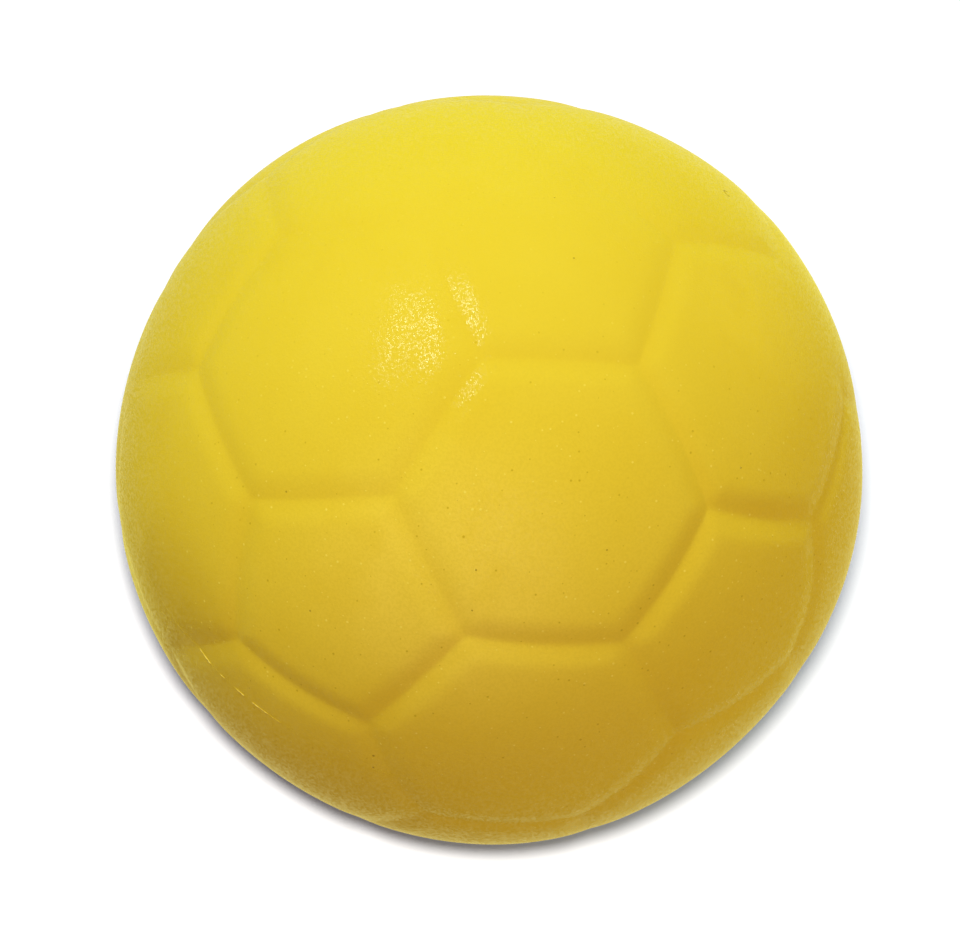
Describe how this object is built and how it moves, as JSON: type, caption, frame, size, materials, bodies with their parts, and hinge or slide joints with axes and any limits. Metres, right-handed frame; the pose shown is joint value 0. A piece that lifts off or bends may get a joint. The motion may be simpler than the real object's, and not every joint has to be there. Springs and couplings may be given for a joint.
{
  "type": "dodgeball",
  "caption": "Soft solid foam dodgeball with a satin yellow skin and moulded pentagon and hexagon panels, for throwing and catching games.",
  "frame": {"origin": "centre of the ball", "axes": "+Z square to the mould's parting plane, out through the middle of the top pentagon; -Y towards the side of that pentagon with the front hexagon below it; +X completes the right-handed frame"},
  "size_m": [0.1776, 0.1782, 0.178],
  "materials": {
    "skin": "satin polyurethane skin with a fine moulded grain and a few pinholes",
    "flash": "trimmed mould flash, a little paler than the skin",
    "foam": "cellular polyurethane foam, coloured through"
  },
  "bodies": {
    "root": {"upper_skin": "skin", "lower_skin": "skin", "parting_flash": "flash", "foam_core": "foam"}
  },
  "joints": []
}
